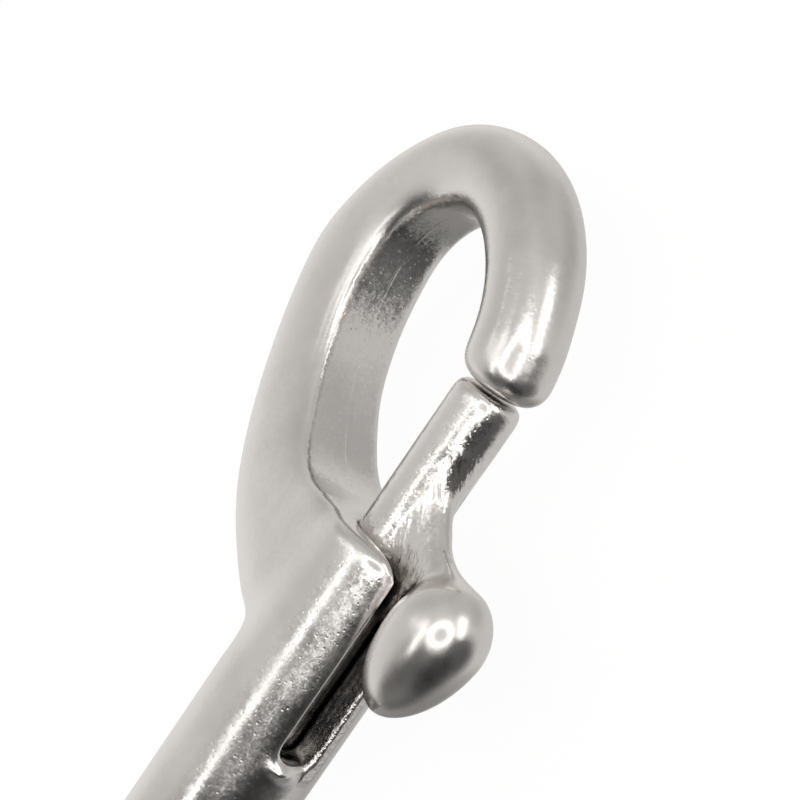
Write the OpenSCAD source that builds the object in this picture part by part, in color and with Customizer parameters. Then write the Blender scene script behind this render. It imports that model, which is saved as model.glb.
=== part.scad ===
/* [Hook] */
// Length of the opening, from its floor to the inside of the crown
opening_len = 24; // [20:0.5:28]
// Reach of the opening, from the bolt's axis to the inside of the spine
opening_reach = 20.5; // [18:0.1:23]
// Length of the arm's root on the barrel
root_t = 14; // [11:0.1:15]
// Thickness of the spine in the hook's plane
spine_t = 10.3; // [8:0.1:11]
// Thickness of the crown in the hook's plane
crown_t = 7.9; // [7:0.1:10]
// Width of the arm, square to the hook's plane
arm_w = 8.8; // [7.5:0.1:11]
// Width of the arm's root, square to the hook's plane
root_w = 11.6; // [10:0.1:11.8]
// Width of the opening's floor at the barrel
root_face_w = 10.4; // [9:0.1:11.2]
// Width of the arm's flat inner face
face_w = 6.4; // [5:0.1:7.4]
// Diameter of the hook's nose, which the bolt closes on
nose_d = 7.6; // [6.8:0.1:8.2]
// Distance from the opening's floor to the end of the nose
nose_x = 14.3; // [13:0.1:15]
// Rounding of the end of the nose
nose_round = 2; // [0.8:0.1:2.2]

/* [Barrel] */
// Outside diameter of the barrel
barrel_d = 12; // [11.4:0.1:14]
// Length of the barrel
barrel_len = 42.2; // [39:0.1:50]
// Rounding of the barrel's ends
barrel_round = 1; // [0.3:0.1:1.4]
// Width of the thumb slot
slot_w = 3.2; // [2.8:0.1:3.6]
// Radius that flares the slot's open end
slot_flare = 1.9; // [1:0.1:3]
// Rounding of the corners at the thumb slot's closed end
slot_ease = 0.9; // [0.4:0.1:1.3]
// Length of the thumb slot, open at the barrel's top end
slot_len = 18.3; // [17:0.1:20]

/* [Bolt] */
// Diameter of the bolt
bolt_d = 5.9; // [5:0.1:6.4]
// Radial running clearance of the bolt in its bore
bolt_clear = 0.08; // [0.04:0.01:0.1]
// Gap between the closed bolt and the nose
nose_gap = 0.15; // [0.05:0.05:0.4]
// Length of the closed bolt below the barrel's top end
tail_len = 19.2; // [18.5:0.1:21]
// Travel of the bolt, from closed to fully drawn back
travel = 12; // [9:0.5:12.5]
// Rounding of the bolt's upper end
bolt_round = 0.8; // [0.3:0.1:1.2]

/* [Knob] */
// Greatest diameter of the thumb knob
knob_d = 8; // [6:0.1:8.2]
// Length of the thumb knob
knob_len = 12.6; // [10:0.1:14]
// Distance from the bolt's axis to the knob's axis
knob_off = 11.3; // [11.1:0.1:13]
// Distance from the barrel's top end up to the knob's top end
knob_top = 2.5; // [1:0.1:4]
// Lean of the knob, its pointed end towards the barrel, in degrees
knob_tilt = 9; // [0:1:13]
// Gap between the web and the slot's closed end when the bolt is drawn back
web_gap = 0.7; // [0.3:0.1:2]
// Thickness of the web that carries the knob
web_t = 2.6; // [2:0.1:2.7]
// Distance from the barrel's top end up to the web's upper end on the bolt
web_top = 9.2; // [6:0.1:10]

/* [Swivel] */
// Diameter of the hole in the swivel's eye
eye_hole_d = 13; // [10:0.5:16]
// Thickness of the eye's ring
eye_t = 4.6; // [3.6:0.1:6]
// Width of the flat land round the inside of the eye
land_w = 1.6; // [1:0.1:2.4]
// Distance from the eye's ring to the barrel
neck_len = 4; // [3:0.1:8]
// Diameter of the collar under the barrel
collar_d = 9; // [7:0.1:10.5]
// Thickness of the collar
collar_t = 1; // [0.6:0.1:1.6]
// Easing of the collar's edges
collar_ease = 0.3; // [0.1:0.1:0.4]
// Diameter of the swivel's stem
stem_d = 5; // [4:0.1:5.6]
// Diameter of the flange that holds the stem in the barrel
flange_d = 8.4; // [7.8:0.1:8.8]
// Thickness of that flange
flange_t = 2; // [1.5:0.1:3]
// Running clearance of the swivel in the barrel
swivel_clear = 0.08; // [0.05:0.01:0.1]
// Thickness of the lip rolled in under the flange
lip_t = 1.6; // [1.2:0.1:2.5]

/* [Spring] */
// Diameter of the spring's wire
wire_d = 0.55; // [0.4:0.05:0.6]
// Radial gap between the spring and the bore
spring_gap = 0.28; // [0.1:0.01:0.4]
// Number of turns of the spring
turns = 8; // [5:1:9]

/* [Hidden] */
STEEL = [0.76, 0.74, 0.72];
BRIGHT = [0.85, 0.84, 0.82];
WIRE = [0.6, 0.6, 0.62];
$fn = 64;
bore_r = bolt_d / 2 + bolt_clear;
barrel_r = barrel_d / 2;
eye_r = eye_hole_d / 2 + eye_t;
barrel_x = eye_r + neck_len;
floor_x = barrel_x + barrel_len;
flange_x = barrel_x + lip_t + swivel_clear;
seat_x = flange_x + flange_t;
pocket_x = seat_x + swivel_clear;
tail_x = floor_x - tail_len;
web_low = slot_len - slot_ease - travel - web_gap;
sweep_r = web_top - knob_top - 0.1;
sweep_y = bolt_d / 2 - 0.4 + sweep_r;
front_r = sweep_r + web_t / 2;

function mix(a, b, t) = a + (b - a) * t;

function smooth(a, b, c, d, t) = (2 * b + (c - a) * t + (2 * a - 5 * b + 4 * c - d) * t * t
    + (3 * b - a - 3 * c + d) * t * t * t) / 2;

// Spin an outline of [distance along the barrel, radius] round the barrel's axis.
module lathe(outline) {
    rotate([0, 90, 0]) rotate_extrude() polygon([for (p = outline) [p[1], p[0]]]);
}

// Points on the quarter circle of radius r that rounds an outer corner of a lathe outline.
function corner(x, y, r, from, to, steps = 6) =
    [for (i = [0:steps]) let (a = mix(from, to, i / steps)) [x + r * cos(a), y + r * sin(a)]];

// The arm is lofted through stations that go round the opening, from the barrel to the nose:
// inner face as a share of the opening's length and of its reach, the direction that the
// thickness points in, the thickness, the width and the width of the flat inner face.
STATIONS = [
    [0.000, -0.08, 180, root_t, root_w, root_face_w],
    [0.000, 0.05, 180, root_t, root_w, root_face_w],
    [0.000, 0.22, 173, root_t, root_w, root_face_w],
    [0.002, 0.400, 161, mix(root_t, spine_t, 0.55), mix(root_w, arm_w, 0.1), mix(root_face_w, face_w, 0.35)],
    [0.050, 0.555, 143, mix(root_t, spine_t, 0.8), mix(root_w, arm_w, 0.4), mix(root_face_w, face_w, 0.65)],
    [0.150, 0.695, 127, mix(root_t, spine_t, 0.88), mix(root_w, arm_w, 0.75), mix(root_face_w, face_w, 0.85)],
    [0.271, 0.820, 113, mix(root_t, spine_t, 0.95), arm_w, mix(root_face_w, face_w, 0.95)],
    [0.438, 0.926, 101, spine_t, arm_w, face_w],
    [0.604, 0.984, 90, spine_t, arm_w, face_w],
    [0.760, 0.992, 75, mix(spine_t, crown_t, 0.65), arm_w, mix(face_w, 1, 0.15)],
    [0.885, 0.926, 56, crown_t, arm_w, mix(face_w, 1, 0.35)],
    [0.970, 0.805, 35, crown_t, arm_w, mix(face_w, 1, 0.55)],
    [0.992, 0.655, 10, crown_t, arm_w, mix(face_w, 1, 0.8)],
    [0.957, 0.505, -18, crown_t, mix(arm_w, nose_d, 0.3), 1],
    [0.882, 0.360, -45, mix(crown_t, nose_d, 0.5), mix(arm_w, nose_d, 0.6), 1],
    [0.790, 0.260, -66, nose_d, nose_d, 1],
    [0.700, 0.200, -80, nose_d, nose_d, 1],
    [0.600, 0.185, -90, nose_d, nose_d, 1]
];
ARM_STEPS = 4;
ROUND_STEPS = 7;
FACE_STEPS = 3;

// One closed section of the arm: a rounded back, two flanks and a flat inner face.
function section(t, w, face) = concat(
    [for (i = [-ROUND_STEPS:ROUND_STEPS]) let (a = 90 * i / ROUND_STEPS)
        [t / 2 * (1 + cos(a)), w / 2 * sin(a)]],
    [for (i = [1:ROUND_STEPS]) let (a = 90 * i / ROUND_STEPS)
        [t / 2 * (1 - sin(a)), face / 2 + (w - face) / 2 * cos(a)]],
    [for (i = [1:FACE_STEPS - 1]) [0, face * (0.5 - i / FACE_STEPS)]],
    [for (i = [ROUND_STEPS:-1:1]) let (a = 90 * i / ROUND_STEPS)
        [t / 2 * (1 - sin(a)), -face / 2 - (w - face) / 2 * cos(a)]]
);

function ring(s) = [
    for (p = section(s[3], s[4], s[5]))
    [floor_x + s[0] * opening_len + p[0] * cos(s[2]), s[1] * opening_reach + p[0] * sin(s[2]), -p[1]]
];

function arm_rings() = [
    for (i = [1:len(STATIONS) - 3], k = [0:ARM_STEPS - 1])
    ring(smooth(STATIONS[i - 1], STATIONS[i], STATIONS[i + 1], STATIONS[i + 2], k / ARM_STEPS))
];

function nose_ring(a) = [
    for (p = section(nose_d, nose_d, 1))
    let (shrink = 1 - nose_round * (1 - sin(a)) / (nose_d / 2))
    [floor_x + nose_x + nose_round * (1 - cos(a)), (nose_d / 2 - p[0]) * shrink, -p[1] * shrink]
];

function nose_rings() = [for (a = [90:-22.5:0]) nose_ring(a)];

// Skin a list of rings with faces, closed by a flat cap at each end.
module loft(rings) {
    n = len(rings[0]);
    last = len(rings) - 1;
    points = [for (r = rings) for (p = r) p];
    walls = [
        for (i = [0:last - 1], j = [0:n - 1])
        let (k = (j + 1) % n)
        each [
            [i * n + j, i * n + k, (i + 1) * n + k],
            [i * n + j, (i + 1) * n + k, (i + 1) * n + j]
        ]
    ];
    first_cap = [[for (j = [n - 1:-1:0]) j]];
    last_cap = [[for (j = [0:n - 1]) last * n + j]];
    polyhedron(points, concat(first_cap, walls, last_cap), convexity = 6);
}

module barrel_blank() {
    lathe(concat(
        [[barrel_x, 0]],
        corner(barrel_x + barrel_round, barrel_r - barrel_round, barrel_round, 180, 90),
        corner(floor_x - barrel_round, barrel_r - barrel_round, barrel_round, 90, 0),
        [[floor_x, 0]]
    ));
}

// The bore for the bolt, the wider pocket for the swivel's flange and the hole in the lip.
module barrel_bore() {
    lip_r = stem_d / 2 + swivel_clear;
    pocket_r = flange_d / 2 + swivel_clear;
    lathe([
        [barrel_x - 1, 0], [barrel_x - 1, lip_r], [barrel_x + lip_t, lip_r],
        [barrel_x + lip_t, pocket_r], [pocket_x, pocket_r], [pocket_x, bore_r],
        [floor_x + 1, bore_r], [floor_x + 1, 0]
    ]);
}

// The thumb slot in the barrel's front: eased corners at the lower end, flared at the open top end.
module slot() {
    translate([floor_x, 0, 0]) rotate([90, 0, 0]) linear_extrude(barrel_r + 1) {
        for (side = [-1, 1]) translate([slot_ease - slot_len, side * (slot_w / 2 - slot_ease)])
            circle(r = slot_ease, $fn = 32);
        translate([-slot_len, slot_ease - slot_w / 2]) square([slot_len + 1, slot_w - 2 * slot_ease]);
        translate([slot_ease - slot_len, -slot_w / 2]) square([slot_len + 1, slot_w]);
        difference() {
            translate([-slot_flare, -slot_w / 2 - slot_flare]) square([slot_flare + 1, slot_w + 2 * slot_flare]);
            for (side = [-1, 1])
                translate([-slot_flare, side * (slot_w / 2 + slot_flare)]) circle(r = slot_flare);
        }
    }
}

module hook_body() {
    color(STEEL) difference() {
        union() {
            loft(concat(arm_rings(), nose_rings()));
            barrel_blank();
        }
        barrel_bore();
        slot();
    }
}

// Teardrop outline of the knob: round towards the hook, drawn out to a blunt point below.
function knob_outline() =
    let (
        r = knob_d / 2,
        head = knob_len * 0.37,
        tail = knob_len - head,
        x0 = floor_x + knob_top - head
    )
    concat(
        [for (a = [180:-7.5:90]) [x0 + tail * cos(a), r * pow(sin(a), 1.15)]],
        [for (a = [82.5:-7.5:0]) [x0 + head * cos(a), r * sin(a)]]
    );

// The web's flat outline: a concave sweep from the bolt down to the knob, and a lower edge
// that clears the slot's end when the bolt is drawn back.
module web_outline() {
    front = [for (a = [-90:-15:-180]) [floor_x + web_top + front_r * cos(a), sweep_y + front_r * sin(a)]];
    polygon(concat(
        [[floor_x + web_top, 1]],
        front,
        [[floor_x + web_top - front_r, knob_off], [floor_x - web_low, knob_off], [floor_x - web_low, 1]]
    ));
}

// The web: a flat plate whose front edge, swept and then straight, is rounded over its thickness.
module web() {
    translate([0, 0, -web_t / 2]) linear_extrude(web_t) web_outline();
    translate([floor_x + web_top, sweep_y, 0]) rotate(180)
        rotate_extrude(angle = 90) translate([front_r, 0]) circle(d = web_t, $fn = 32);
    translate([floor_x + web_top - front_r, sweep_y, 0]) rotate([-90, 0, 0])
        cylinder(d = web_t, h = knob_off - 1 - sweep_y, $fn = 32);
}

module plunger() {
    end_x = floor_x + nose_x - nose_gap;
    color(BRIGHT) union() {
        lathe(concat(
            [[tail_x, 0], [tail_x, bolt_d / 2]],
            corner(end_x - bolt_round, bolt_d / 2 - bolt_round, bolt_round, 90, 0),
            [[end_x, 0]]
        ));
        mirror([0, 1, 0]) web();
        translate([floor_x, -knob_off, 0]) rotate(-knob_tilt) translate([-floor_x, 0, 0])
            lathe(knob_outline());
    }
}

TURN_STEPS = 20;
WIRE_POINTS = 8;

// Height of the spring's wire after t turns: the end turns lie closed, the others are open.
function coil_height(t, open_len) =
    let (closed = min(t, 1) + max(0, t - turns + 1))
    closed * wire_d + (t - closed) * (open_len - 2 * wire_d) / (turns - 2);

module spring() {
    gap = 0.02;
    coil_r = bore_r - spring_gap - wire_d / 2;
    start_x = seat_x + gap + wire_d / 2;
    open_len = tail_x - seat_x - 2 * gap - wire_d;
    color(WIRE) loft([
        for (i = [0:turns * TURN_STEPS])
        let (t = i / TURN_STEPS, x = start_x + coil_height(t, open_len))
        [for (j = [0:WIRE_POINTS - 1])
            let (
                b = 360 * (j + 0.5) / WIRE_POINTS,
                r = coil_r + wire_d / 2 * cos(b)
            )
            [x + wire_d / 2 * sin(b), r * cos(360 * t), r * sin(360 * t)]]
    ]);
}

module swivel_eye() {
    ring_r = eye_hole_d / 2 + eye_t / 2;
    land_cut = eye_t / 2 - sqrt(pow(eye_t / 2, 2) - pow(land_w / 2, 2));
    collar_x = barrel_x - swivel_clear;
    color(STEEL) difference() {
        union() {
            rotate_extrude() translate([ring_r - land_cut / 2, 0]) circle(d = eye_t + land_cut, $fn = 32);
            lathe([
                [ring_r, 0], [ring_r, eye_t * 0.45], [eye_r, collar_d * 0.36],
                [collar_x - collar_t - collar_ease, collar_d / 2 - collar_ease],
                [collar_x - collar_t, collar_d / 2], [collar_x - collar_ease, collar_d / 2],
                [collar_x, collar_d / 2 - collar_ease],
                [collar_x, stem_d / 2], [flange_x, stem_d / 2], [flange_x, flange_d / 2],
                [seat_x, flange_d / 2], [seat_x, 0]
            ]);
        }
        cylinder(d = eye_hole_d, h = 2 * eye_t, center = true);
    }
}

hook_body();
plunger();
spring();
swivel_eye();
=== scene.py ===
"""A cast stainless swivel snap hook above a pale floor, seen from over its thumb knob."""

import math

import bmesh
import bpy
import numpy as np
from mathutils import Matrix, Vector


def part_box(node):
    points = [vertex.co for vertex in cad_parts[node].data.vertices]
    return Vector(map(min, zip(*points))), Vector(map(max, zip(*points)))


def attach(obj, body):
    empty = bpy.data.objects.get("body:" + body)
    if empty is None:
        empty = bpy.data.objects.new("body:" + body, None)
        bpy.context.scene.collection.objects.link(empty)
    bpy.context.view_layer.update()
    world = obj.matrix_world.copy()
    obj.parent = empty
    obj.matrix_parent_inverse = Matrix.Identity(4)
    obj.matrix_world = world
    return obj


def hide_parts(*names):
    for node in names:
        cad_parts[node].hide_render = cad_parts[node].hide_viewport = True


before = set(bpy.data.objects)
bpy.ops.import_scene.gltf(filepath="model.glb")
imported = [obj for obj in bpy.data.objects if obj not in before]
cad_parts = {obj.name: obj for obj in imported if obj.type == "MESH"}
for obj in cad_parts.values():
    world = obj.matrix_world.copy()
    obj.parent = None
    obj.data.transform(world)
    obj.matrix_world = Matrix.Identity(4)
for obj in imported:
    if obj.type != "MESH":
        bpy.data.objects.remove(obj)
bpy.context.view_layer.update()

MM = 0.001

# Camera: where the barrel's top end lies, and how the photograph looks at it
BOLT_SHOWN = 14.15 * MM
BARREL_TOP_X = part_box("plunger")[1][0] - BOLT_SHOWN
CAMERA_DROP_DEG = 36.2
CAMERA_TURN_DEG = 10.0
CAMERA_ROLL_DEG = 55.9
CAMERA_DISTANCE = 157 * MM
CAMERA_SLIDE = 0.6 * MM
CAMERA_RAISE = 11.0 * MM
CAMERA_NEAREST = 10 * MM
SENSOR_MM = 36.0
FOCAL_PX = 2000
FRAME_PX = 800

# Floor: its half size, how far it clears the turned eye, and how white the camera sees it
FLOOR_SIZE = 1.5
FLOOR_GAP = 0.2 * MM
FLOOR_COLOR = (0.8, 0.8, 0.8, 1.0)
PAPER_GLOW = 1.06
PAPER_SHARE = 0.88

# Root: where the arm meets the barrel, from the spine side round to the flank, in mm: distance
# from the barrel's top end, y and height
ROOT_PATH = [(-13.8, 6.0, 0.0), (-13.4, 5.0, 3.3), (-11.5, 3.0, 5.2), (-8.0, 1.8, 5.75), (-3.0, 1.6, 5.8)]

# Web: where the bolt, the web and the knob run into each other, given as the root is
WEB_PATH = [(10.4, -3.0, 0.0), (8.4, -3.4, 0.4), (7.5, -2.8, 1.3), (1.0, -2.6, 1.3),
            (2.0, -6.5, 1.0), (2.2, -9.2, 1.2), (-1.0, -8.6, 1.6), (-4.0, -7.6, 1.5)]

# Joins that are eased further: the path, the distances from it in mm where that is full and where
# it is gone, and how often
JOINS = {
    "hook_body": (ROOT_PATH, 1.6, 3.2, 70),
    "plunger": (WEB_PATH, 1.1, 2.3, 70),
}
JOIN_STEPS = 12
EASE_STEP = 0.5

# Burr: a small upset lip at the near corner of the slot's closed end, in mm: distance from the
# barrel's top end, radius and turn round the barrel from the knob's side, and its half sizes
BURR_AT = (-19.1, 5.95)
BURR_TURN_DEG = 8
BURR_SIZE = (0.5, 0.85, 1.2)
BURR_DETAIL = 3

# Inner face of the arm: the middle that it looks towards, how squarely, and how far out it starts
OPENING_MIDDLE = (BARREL_TOP_X + 12 * MM, 10 * MM, 0)
INNER_LOOKS = (0.45, 0.75)
INNER_Y = (5 * MM, 8 * MM)

# Parting line inside the opening: its half width, height, and the size and reach of its breaks
LINE_HALF = (0.05 * MM, 0.16 * MM)
LINE_HEIGHT = 0.018 * MM
LINE_BREAK_SIZE = 3 * MM
LINE_BREAKS = (0.4, 0.6)

# Torn far edge of the thumb slot: its range across, down and along with the soft ends, its grain
# and its height
TORN_Z = (-2.6 * MM, -1.6 * MM, 0.4 * MM)
TORN_Y = (-4.9 * MM, -4.2 * MM)
TORN_X = (-19 * MM, -3 * MM, 1 * MM)
TORN_SIZE = 0.5 * MM
TORN_HEIGHT = 0.14 * MM

# Drag marks down the web: their range with its soft ends, which way they run, how wide they are,
# how much longer, and how deep
DRAG_Y = (-7 * MM, -2.8 * MM, 0.8 * MM)
DRAG_X = (0, 9 * MM, 1 * MM)
DRAG_ALONG = (0.83, 0.33, 0.45)
DRAG_SIZE = 0.8 * MM
DRAG_STRETCH = 0.85
DRAG_DEPTH = 0.12 * MM

# Grain: where it thins out towards the arm and the polished knob, and how much of it there is at
# either end
ARM_GRAIN_X = (-4 * MM, 6 * MM, 1.0, 0.6)
INNER_GRAIN = 2.0
KNOB_GRAIN_Y = (-8 * MM, -6 * MM, 0.1, 1.4)

# Pits: the cells that they are strewn in, their reach in a cell, which cells have one, and how
# deep they are
PIT_SIZE = 0.4 * MM
PIT_REACH = (0.05, 0.36)
PIT_PICK = (0.5, 0.7)
PIT_DEPTH = 0.009 * MM

# Painted shade, a darker colour down in the bore and thumb slot and on the bolt within the barrel:
# inside this radius and below the barrel's top, on the bolt within the barrel, and how dark it is
BORE_RADIUS = (4.6 * MM, 5.5 * MM)
BORE_X = (-1 * MM, 0)
RUNNING_X = (-4 * MM, -1 * MM)
RUNNING_Y = (-5.5 * MM, -4.5 * MM)
PAINTED_SHADE_LEVEL = 0.55

# Steels: colour, roughness, tilt and size of the flakes, height and size of the orange peel, and
# share of grain; then the coarser flakes, the patches of other gloss and shade, and how much
# rougher it is where there is no grain
STEELS = {
    "cast_steel": ((0.79, 0.766, 0.745), 0.22, 0.036, 0.15 * MM, 0.006 * MM, 0.9 * MM, 1.0),
    "eye_steel": ((0.79, 0.766, 0.745), 0.2, 0.06, 0.17 * MM, 0.006 * MM, 0.9 * MM, 1.0),
    "bolt_steel": ((0.8, 0.772, 0.748), 0.19, 0.045, 0.16 * MM, 0.012 * MM, 1.5 * MM, 1.0),
    "spring_wire": ((0.6, 0.6, 0.61), 0.25, 0.1, 0.1 * MM, 0.002 * MM, 1 * MM, 0.2),
}
COARSE_FLAKES = 2.3
PATCH_SIZE = 5.5 * MM
PATCH_GLOSS = (0.35, 0.65, -0.04, 0.05)
PATCH_SHADE = (0.3, 0.7, 0.95, 1.02)
SMOOTH_BLUR = 0.06

# Room: how bright it is level with the hook, overhead and below, between which heights that
# changes, and where it is darker
ROOM_LEVEL = 0.86
ROOM_HIGH = 0.64
ROOM_BELOW = 0.66
HIGH_RANGE = (0.1, 0.85)
LOW_RANGE = (-0.75, -0.15)
LIGHT_TINT = (1.0, 0.985, 0.965, 1.0)
OVERHEAD = ((0, -0.1, 1), 10, 34, 0.8)
DARK_LOBES = [
    # (direction, full within this angle, gone at this angle, share of the light that it takes away)
    ((-0.25, -0.95, -0.18), 30, 54, 0.86),
    ((-0.78, -0.58, 0.22), 32, 57, 0.78),
    ((-0.65, -0.3, 0.7), 14, 40, 0.38),
    ((0.6, 0.65, 0.45), 10, 50, 0.25),
    ((-0.8, 0.1, -0.6), 18, 45, 0.6),
    ((0.95, -0.1, -0.15), 15, 55, 0.35),
]

# Lamps: the ring round the camera with its dark middle, round spots, and soft boxes overhead as
# ranges of direction in x and y
RING_TOWARDS = (0.2, -0.76, 0.6)
RING_EDGE = (23, 31, 2.2)
RING_MIDDLE = (11, 17, 0.95)
SPOTS = [
    # (direction, full within this angle, gone at this angle, level)
    ((0.5, -0.85, -0.06), 8, 15, 1.8),
    ((0.74, -0.66, 0.0), 9, 16, 1.8),
    ((0.14, -0.14, 0.97), 5, 15, 1.4),
]
SOFT_BOXES = [
    # (least x and y, greatest x and y, softness, level)
    ((-0.5, -0.33), (0.05, -0.22), 0.08, 1.9),
    ((-0.03, -0.4), (0.05, 0.4), 0.05, 1.3),
]


def add_node(tree, kind, inputs=None, **settings):
    """A node with its settings and its inputs, each input a value or the socket that feeds it."""
    node = tree.nodes.new(kind)
    for key, value in settings.items():
        setattr(node, key, value)
    for key, value in (inputs or {}).items():
        if isinstance(value, bpy.types.NodeSocket):
            tree.links.new(value, node.inputs[key])
        else:
            node.inputs[key].default_value = value
    return node


def calc(tree, operation, a, b=0.0):
    return add_node(tree, "ShaderNodeMath", {0: a, 1: b}, operation=operation).outputs[0]


def product(tree, *factors):
    result = factors[0]
    for factor in factors[1:]:
        result = calc(tree, "MULTIPLY", result, factor)
    return result


def vector_calc(tree, operation, a, b=(0, 0, 0), scale=None):
    inputs = {0: a, 1: b} if scale is None else {0: a, "Scale": scale}
    result = add_node(tree, "ShaderNodeVectorMath", inputs, operation=operation)
    return result.outputs["Value" if operation == "DOT_PRODUCT" else "Vector"]


def ramp(tree, value, low, high, out_low=0.0, out_high=1.0):
    """value carried smoothly from low..high to out_low..out_high."""
    inputs = {"Value": value, "From Min": low, "From Max": high, "To Min": out_low, "To Max": out_high}
    return add_node(tree, "ShaderNodeMapRange", inputs, interpolation_type="SMOOTHSTEP").outputs["Result"]


def fall(tree, value, low, high):
    """1 below low and 0 above high."""
    return ramp(tree, value, low, high, 1.0, 0.0)


def band(tree, value, low, high, soft):
    """1 between low and high, and 0 beyond the soft edges."""
    return product(tree, ramp(tree, value, low - soft, low), fall(tree, value, high, high + soft))


def noise(tree, place, size, detail=2.0):
    inputs = {"Vector": place, "Scale": 1 / size, "Detail": detail, "Roughness": 0.6}
    return add_node(tree, "ShaderNodeTexNoise", inputs).outputs["Fac"]


def coordinate(tree, place, name):
    """One coordinate of a place, with X counted from the barrel's top end."""
    value = add_node(tree, "ShaderNodeSeparateXYZ", {0: place}).outputs[name]
    return calc(tree, "SUBTRACT", value, BARREL_TOP_X) if name == "X" else value


def lobe(tree, direction, towards, full_deg, gone_deg, level):
    """A round patch of light: full within one angle of its middle and gone at the other."""
    near = vector_calc(tree, "DOT_PRODUCT", direction, Vector(towards).normalized())
    return ramp(tree, near, math.cos(math.radians(gone_deg)), math.cos(math.radians(full_deg)), 0.0, level)


def soft_box(tree, axes, low, high, soft, level):
    """A lamp overhead between two corners of direction in x and y."""
    sides = [band(tree, axes[name], *ends, soft) for name, ends in zip("XY", zip(low, high))]
    return product(tree, level, *sides, calc(tree, "GREATER_THAN", axes["Z"], 0.0))


def dimmed(tree, level, share):
    """level without a share of it."""
    return product(tree, level, calc(tree, "SUBTRACT", 1.0, share))


def make_camera():
    """The photograph's camera: it looks down at the knob's side, and the barrel climbs to the right."""
    drop, turn, roll = (math.radians(a) for a in (CAMERA_DROP_DEG, CAMERA_TURN_DEG, CAMERA_ROLL_DEG))
    back = Vector((math.sin(turn), -math.cos(turn) * math.cos(drop), math.cos(turn) * math.sin(drop)))
    along = Vector((1, 0, 0))
    along = (along - along.dot(back) * back).normalized()
    across = back.cross(along)
    right = math.cos(roll) * along - math.sin(roll) * across
    up = math.sin(roll) * along + math.cos(roll) * across
    place = Vector((BARREL_TOP_X, 0, 0)) + CAMERA_DISTANCE * back + CAMERA_SLIDE * right + CAMERA_RAISE * up
    camera = bpy.data.objects.new("camera", bpy.data.cameras.new("camera"))
    camera.matrix_world = Matrix.Translation(place) @ Matrix((right, up, back)).transposed().to_4x4()
    camera.data.sensor_width = SENSOR_MM
    camera.data.lens = SENSOR_MM * FOCAL_PX / FRAME_PX
    camera.data.clip_start = CAMERA_NEAREST
    bpy.context.scene.collection.objects.link(camera)
    bpy.context.scene.camera = camera


def make_world():
    """A pale room, dark on the camera's left, with its lamps; the camera itself sees white."""
    world = bpy.data.worlds.new("room")
    bpy.context.scene.world = world
    world.use_nodes = True
    tree = world.node_tree
    tree.nodes.clear()
    direction = add_node(tree, "ShaderNodeTexCoord").outputs["Generated"]
    axes = add_node(tree, "ShaderNodeSeparateXYZ", {0: direction}).outputs
    level = calc(tree, "MINIMUM", ramp(tree, axes["Z"], *HIGH_RANGE, ROOM_LEVEL, ROOM_HIGH),
                 ramp(tree, axes["Z"], *LOW_RANGE, ROOM_BELOW, ROOM_LEVEL))
    level = calc(tree, "MAXIMUM", level, lobe(tree, direction, *OVERHEAD))
    for dark in DARK_LOBES:
        level = dimmed(tree, level, lobe(tree, direction, *dark))
    ring = lobe(tree, direction, RING_TOWARDS, *RING_EDGE)
    lamps = [dimmed(tree, ring, lobe(tree, direction, RING_TOWARDS, *RING_MIDDLE))]
    lamps += [lobe(tree, direction, *spot) for spot in SPOTS]
    lamps += [soft_box(tree, axes, *box) for box in SOFT_BOXES]
    for lamp in lamps:
        level = calc(tree, "MAXIMUM", level, lamp)
    seen = add_node(tree, "ShaderNodeLightPath").outputs["Is Camera Ray"]
    level = add_node(tree, "ShaderNodeMix", {"Factor": seen, "A": level, "B": 1.0}).outputs["Result"]
    shine = add_node(tree, "ShaderNodeBackground", {"Color": LIGHT_TINT, "Strength": level})
    add_node(tree, "ShaderNodeOutputWorld", {"Surface": shine.outputs[0]})


def new_material(name):
    """A material with no nodes yet, and its tree."""
    material = bpy.data.materials.new(name)
    material.use_nodes = True
    material.node_tree.nodes.clear()
    return material, material.node_tree


def make_floor():
    """White paper just below the reach of the turned eye, evenly lit to the camera but for the shadow."""
    low = -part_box("swivel_eye")[1][1] - FLOOR_GAP
    mesh = bpy.data.meshes.new("floor")
    corners = [(x * FLOOR_SIZE, y * FLOOR_SIZE, low) for x, y in ((-1, -1), (1, -1), (1, 1), (-1, 1))]
    mesh.from_pydata(corners, [], [(0, 1, 2, 3)])
    floor = bpy.data.objects.new("floor", mesh)
    bpy.context.scene.collection.objects.link(floor)
    material, tree = new_material("floor")
    paper = add_node(tree, "ShaderNodeBsdfDiffuse", {"Color": FLOOR_COLOR}).outputs[0]
    white = add_node(tree, "ShaderNodeEmission", {"Strength": PAPER_GLOW}).outputs[0]
    seen = add_node(tree, "ShaderNodeLightPath").outputs["Is Camera Ray"]
    mix = add_node(tree, "ShaderNodeMixShader", {0: product(tree, seen, PAPER_SHARE), 1: paper, 2: white})
    add_node(tree, "ShaderNodeOutputMaterial", {"Surface": mix.outputs[0]})
    mesh.materials.append(material)
    floor.visible_glossy = False


def inner_face(tree, place):
    """1 on the arm's inner face, which looks towards the middle of the opening, and 0 elsewhere."""
    normal = add_node(tree, "ShaderNodeNewGeometry").outputs["Normal"]
    inward = vector_calc(tree, "NORMALIZE", vector_calc(tree, "SUBTRACT", OPENING_MIDDLE, place))
    looks = vector_calc(tree, "DOT_PRODUCT", inward, normal)
    return product(tree, ramp(tree, looks, *INNER_LOOKS), ramp(tree, coordinate(tree, place, "Y"), *INNER_Y))


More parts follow.
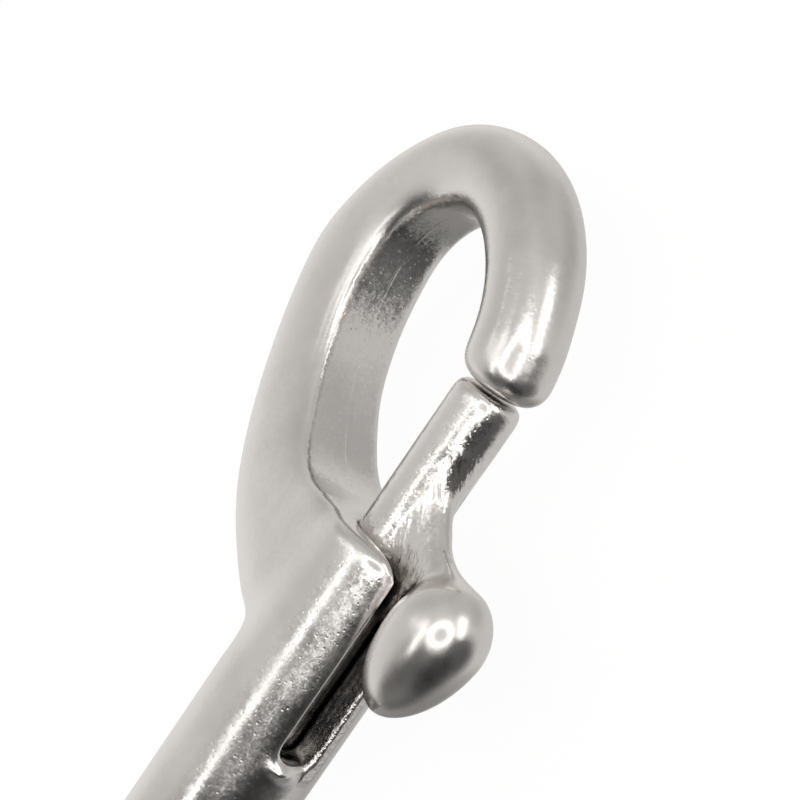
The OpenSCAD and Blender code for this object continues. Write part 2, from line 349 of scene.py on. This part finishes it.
def hook_marks(tree, place):
    """Height of the parting line inside the opening and of the torn far edge of the thumb slot."""
    z = coordinate(tree, place, "Z")
    breaks = ramp(tree, noise(tree, place, LINE_BREAK_SIZE), *LINE_BREAKS)
    line = ramp(tree, calc(tree, "ABSOLUTE", z), *LINE_HALF, LINE_HEIGHT, 0.0)
    edge = product(tree, band(tree, z, *TORN_Z), fall(tree, coordinate(tree, place, "Y"), *TORN_Y),
                   band(tree, coordinate(tree, place, "X"), *TORN_X))
    return calc(tree, "ADD", product(tree, line, inner_face(tree, place), breaks),
                product(tree, edge, noise(tree, place, TORN_SIZE), TORN_HEIGHT))


def bolt_marks(tree, place):
    """Height of the drag marks that the casting left down the web."""
    along = Vector(DRAG_ALONG).normalized()
    far = vector_calc(tree, "DOT_PRODUCT", place, along)
    back = vector_calc(tree, "SCALE", along, scale=product(tree, far, -DRAG_STRETCH))
    stretched = vector_calc(tree, "ADD", place, back)
    web = product(tree, band(tree, coordinate(tree, place, "Y"), *DRAG_Y),
                  band(tree, coordinate(tree, place, "X"), *DRAG_X))
    return product(tree, web, noise(tree, stretched, DRAG_SIZE), DRAG_DEPTH)


def hook_grain(tree, place):
    """Share of the casting's grain: all of it on the barrel, more inside the opening, less on the arm."""
    outer = ramp(tree, coordinate(tree, place, "X"), *ARM_GRAIN_X)
    return calc(tree, "MAXIMUM", outer, product(tree, inner_face(tree, place), INNER_GRAIN))


def bolt_grain(tree, place):
    """Share of the casting's grain: all of it and more on the bolt, next to none on the polished knob."""
    return ramp(tree, coordinate(tree, place, "Y"), *KNOB_GRAIN_Y)


def hook_painted_shade(tree, place):
    """Share of painted shade, which darkens the colour down in the thumb slot and the bore."""
    y, z = coordinate(tree, place, "Y"), coordinate(tree, place, "Z")
    radius = calc(tree, "SQRT", calc(tree, "ADD", product(tree, y, y), product(tree, z, z)))
    return product(tree, fall(tree, radius, *BORE_RADIUS), fall(tree, coordinate(tree, place, "X"), *BORE_X))


def bolt_painted_shade(tree, place):
    """Share of painted shade, which darkens the colour of the part of the bolt that runs in the barrel."""
    below = fall(tree, coordinate(tree, place, "X"), *RUNNING_X)
    return product(tree, below, ramp(tree, coordinate(tree, place, "Y"), *RUNNING_Y))


def pits(tree, place):
    """Depth, from 0 to 1, of small round pits strewn at random, in less than half of the cells."""
    cells = add_node(tree, "ShaderNodeTexVoronoi", {"Vector": place, "Scale": 1 / PIT_SIZE}).outputs
    pick = add_node(tree, "ShaderNodeSeparateColor", {0: cells["Color"]}).outputs[0]
    return product(tree, fall(tree, cells["Distance"], *PIT_REACH), ramp(tree, pick, *PIT_PICK))


def flaked(tree, normal, place, size, tilt):
    """A normal that leans at random from flake to flake."""
    cell = add_node(tree, "ShaderNodeTexVoronoi", {"Vector": place, "Scale": 1 / size}).outputs["Color"]
    lean = vector_calc(tree, "SUBTRACT", cell, (0.5, 0.5, 0.5))
    return vector_calc(tree, "ADD", normal, vector_calc(tree, "SCALE", lean, scale=tilt))


def steel(name, grain=None, marks=None, painted_shade=None):
    """Cast stainless steel: flakes that tilt at random, pits, orange peel, patches of other gloss, and
    painted shade where a mask for it is given.
    """
    color, rough, flake, flake_size, peel, peel_size, share = STEELS[name]
    material, tree = new_material(name)
    place = add_node(tree, "ShaderNodeTexCoord").outputs["Object"]
    if grain:
        share = grain(tree, place)
    height = product(tree, noise(tree, place, peel_size), peel)
    height = calc(tree, "ADD", height, product(tree, pits(tree, place), -PIT_DEPTH, share))
    if marks:
        height = calc(tree, "ADD", height, marks(tree, place))
    bump = add_node(tree, "ShaderNodeBump", {"Height": height, "Strength": 1.0, "Distance": 1.0})
    normal = bump.outputs["Normal"]
    tilt = product(tree, share, flake)
    for size in (flake_size, flake_size * COARSE_FLAKES):
        normal = flaked(tree, normal, place, size, tilt)
    normal = vector_calc(tree, "NORMALIZE", normal)
    patch = noise(tree, place, PATCH_SIZE, 3.0)
    gloss = calc(tree, "ADD", ramp(tree, patch, *PATCH_GLOSS),
                 ramp(tree, share, 0.0, 1.0, rough + SMOOTH_BLUR, rough))
    shade = ramp(tree, patch, *PATCH_SHADE)
    # Painted shade: the base colour is darkened by the given mask, where the hollows lie in shade
    if painted_shade:
        shade = product(tree, shade, ramp(tree, painted_shade(tree, place), 0.0, 1.0, 1.0, PAINTED_SHADE_LEVEL))
    tint = vector_calc(tree, "SCALE", color, scale=shade)
    skin = add_node(tree, "ShaderNodeBsdfPrincipled",
                    {"Base Color": tint, "Metallic": 1.0, "Roughness": gloss, "Normal": normal})
    add_node(tree, "ShaderNodeOutputMaterial", {"Surface": skin.outputs[0]})
    return material


def ease(mesh, passes, share=1.0):
    """Draw each point towards its neighbours, by its own share, so that joins and edges soften."""
    points = np.empty(len(mesh.vertices) * 3)
    mesh.vertices.foreach_get("co", points)
    points = points.reshape(-1, 3)
    ends = np.empty(len(mesh.edges) * 2, dtype=int)
    mesh.edges.foreach_get("vertices", ends)
    ends = ends.reshape(-1, 2)
    here, there = np.concatenate([ends, ends[:, ::-1]]).T
    total = len(points)
    count = np.bincount(here, minlength=total)
    for _ in range(passes):
        middle = [np.bincount(here, weights=points[there, i], minlength=total) / count for i in range(3)]
        points += EASE_STEP * np.reshape(share, (-1, 1)) * (np.transpose(middle) - points)
    mesh.vertices.foreach_set("co", points.ravel())
    mesh.update()


def join_share(mesh, path, full, gone):
    """How much each point is eased at a join: fully near its path, and not at all from gone on."""
    points = np.array([(v.co.x - BARREL_TOP_X, v.co.y, abs(v.co.z)) for v in mesh.vertices]) / MM
    away = np.full(len(points), np.inf)
    for start, end in zip(path, path[1:]):
        for t in np.linspace(0, 1, JOIN_STEPS):
            spot = np.array(start) * (1 - t) + np.array(end) * t
            away = np.minimum(away, np.linalg.norm(points - spot, axis=1))
    return np.clip((gone - away) / (gone - full), 0, 1)


def burr_matrix():
    along, radius = BURR_AT
    turn = Matrix.Rotation(math.radians(-BURR_TURN_DEG), 4, "X")
    place = Matrix.Translation((BARREL_TOP_X + along * MM, -radius * MM, 0))
    return turn @ place @ Matrix.Diagonal((*(size * MM for size in BURR_SIZE), 1))


def rebuild(node, body, name, voxel, passes, material):
    """A cast copy of a CAD node: its mesh on an even grid, with the joins and edges eased."""
    shape = bmesh.new()
    shape.from_mesh(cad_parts[node].data)
    if node == "hook_body":
        bmesh.ops.create_icosphere(shape, subdivisions=BURR_DETAIL, radius=1, matrix=burr_matrix())
    mesh = bpy.data.meshes.new(name)
    shape.to_mesh(mesh)
    shape.free()
    piece = bpy.data.objects.new(name, mesh)
    bpy.context.scene.collection.objects.link(piece)
    grid = piece.modifiers.new("grid", "REMESH")
    grid.mode = "VOXEL"
    grid.voxel_size = voxel
    mesh = bpy.data.meshes.new_from_object(piece.evaluated_get(bpy.context.evaluated_depsgraph_get()))
    piece.modifiers.clear()
    piece.data = mesh
    mesh.name = name
    ease(mesh, passes)
    if node in JOINS:
        path, full, gone, more = JOINS[node]
        ease(mesh, more, join_share(mesh, path, full, gone))
    for face in mesh.polygons:
        face.use_smooth = True
    mesh.materials.clear()
    mesh.materials.append(material)
    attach(piece, body)
    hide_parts(node)


make_camera()
make_world()
make_floor()
# The hook and the bolt also get painted shade in their hollows, through their masks
cast = steel("cast_steel", hook_grain, hook_marks, hook_painted_shade)
plain = steel("eye_steel")
bright = steel("bolt_steel", bolt_grain, bolt_marks, bolt_painted_shade)
wire = steel("spring_wire")
rebuild("hook_body", "hook", "hook_casting", voxel=0.3 * MM, passes=14, material=cast)
rebuild("plunger", "bolt", "bolt_casting", voxel=0.2 * MM, passes=24, material=bright)
rebuild("swivel_eye", "swivel", "eye_casting", voxel=0.25 * MM, passes=6, material=plain)
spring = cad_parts["spring"]
spring.data.materials.clear()
spring.data.materials.append(wire)

view = bpy.context.scene.view_settings
view.view_transform = "Standard"
